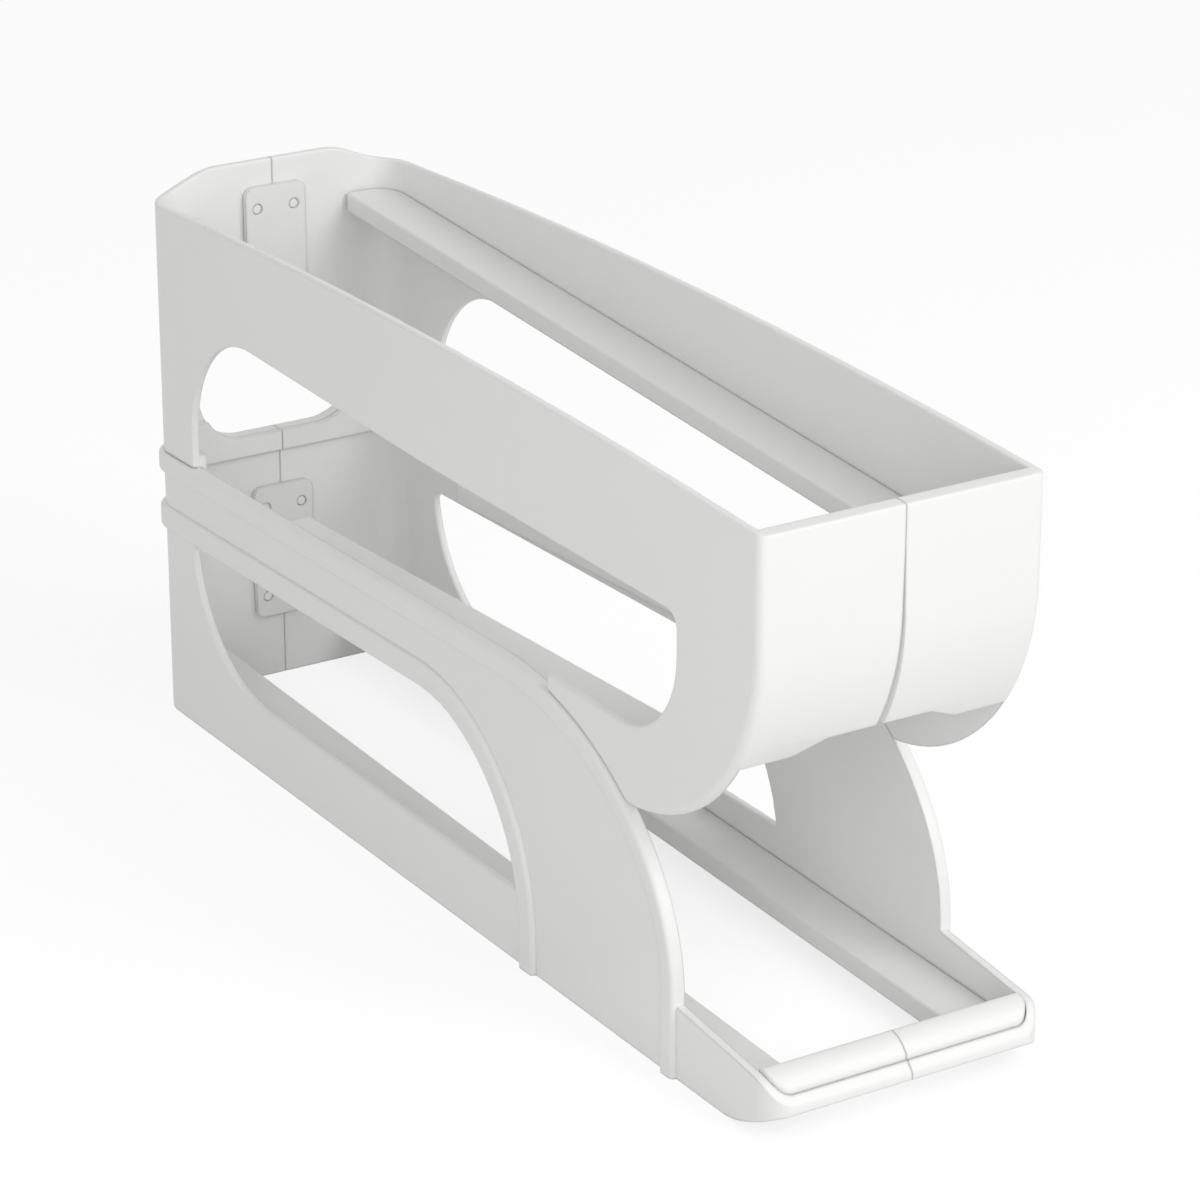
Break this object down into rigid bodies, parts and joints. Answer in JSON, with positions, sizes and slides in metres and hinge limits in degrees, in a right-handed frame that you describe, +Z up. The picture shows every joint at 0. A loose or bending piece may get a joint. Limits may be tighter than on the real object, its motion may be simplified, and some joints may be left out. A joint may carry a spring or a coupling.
{
  "type": "egg dispenser",
  "caption": "Stacked rolling egg dispenser: sloped rails inside open-sided shells, a curled nose where eggs drop, and a low front tray with a rounded lip.",
  "frame": {"origin": "middle of the footprint, on the surface it stands on", "axes": "+Z up, -Y towards the tray and lip that the user faces, +X to the right of a viewer at the front"},
  "size_m": [0.0788, 0.3024, 0.148],
  "materials": {
    "shell": "satin moulded",
    "rail": "satin moulded",
    "lip": "satin moulded",
    "joiner": "satin moulded"
  },
  "bodies": {
    "base": {"lower_left_shell": "shell", "lower_right_shell": "shell", "middle_left_rail": "rail", "middle_right_rail": "rail", "bottom_left_rail": "rail", "bottom_right_rail": "rail", "left_lip_roll": "lip", "right_lip_roll": "lip", "lower_back_joiner": "joiner", "tray_joiner": "joiner"},
    "upper_deck": {"upper_left_shell": "shell", "upper_right_shell": "shell", "top_left_rail": "rail", "top_right_rail": "rail", "nose_joiner": "joiner", "upper_back_joiner": "joiner"}
  },
  "joints": [
    {"name": "upper_lift", "type": "slide", "parent": "base", "child": "upper_deck", "axis": [0, 0, 1], "range_m": [0, 0.12]}
  ]
}
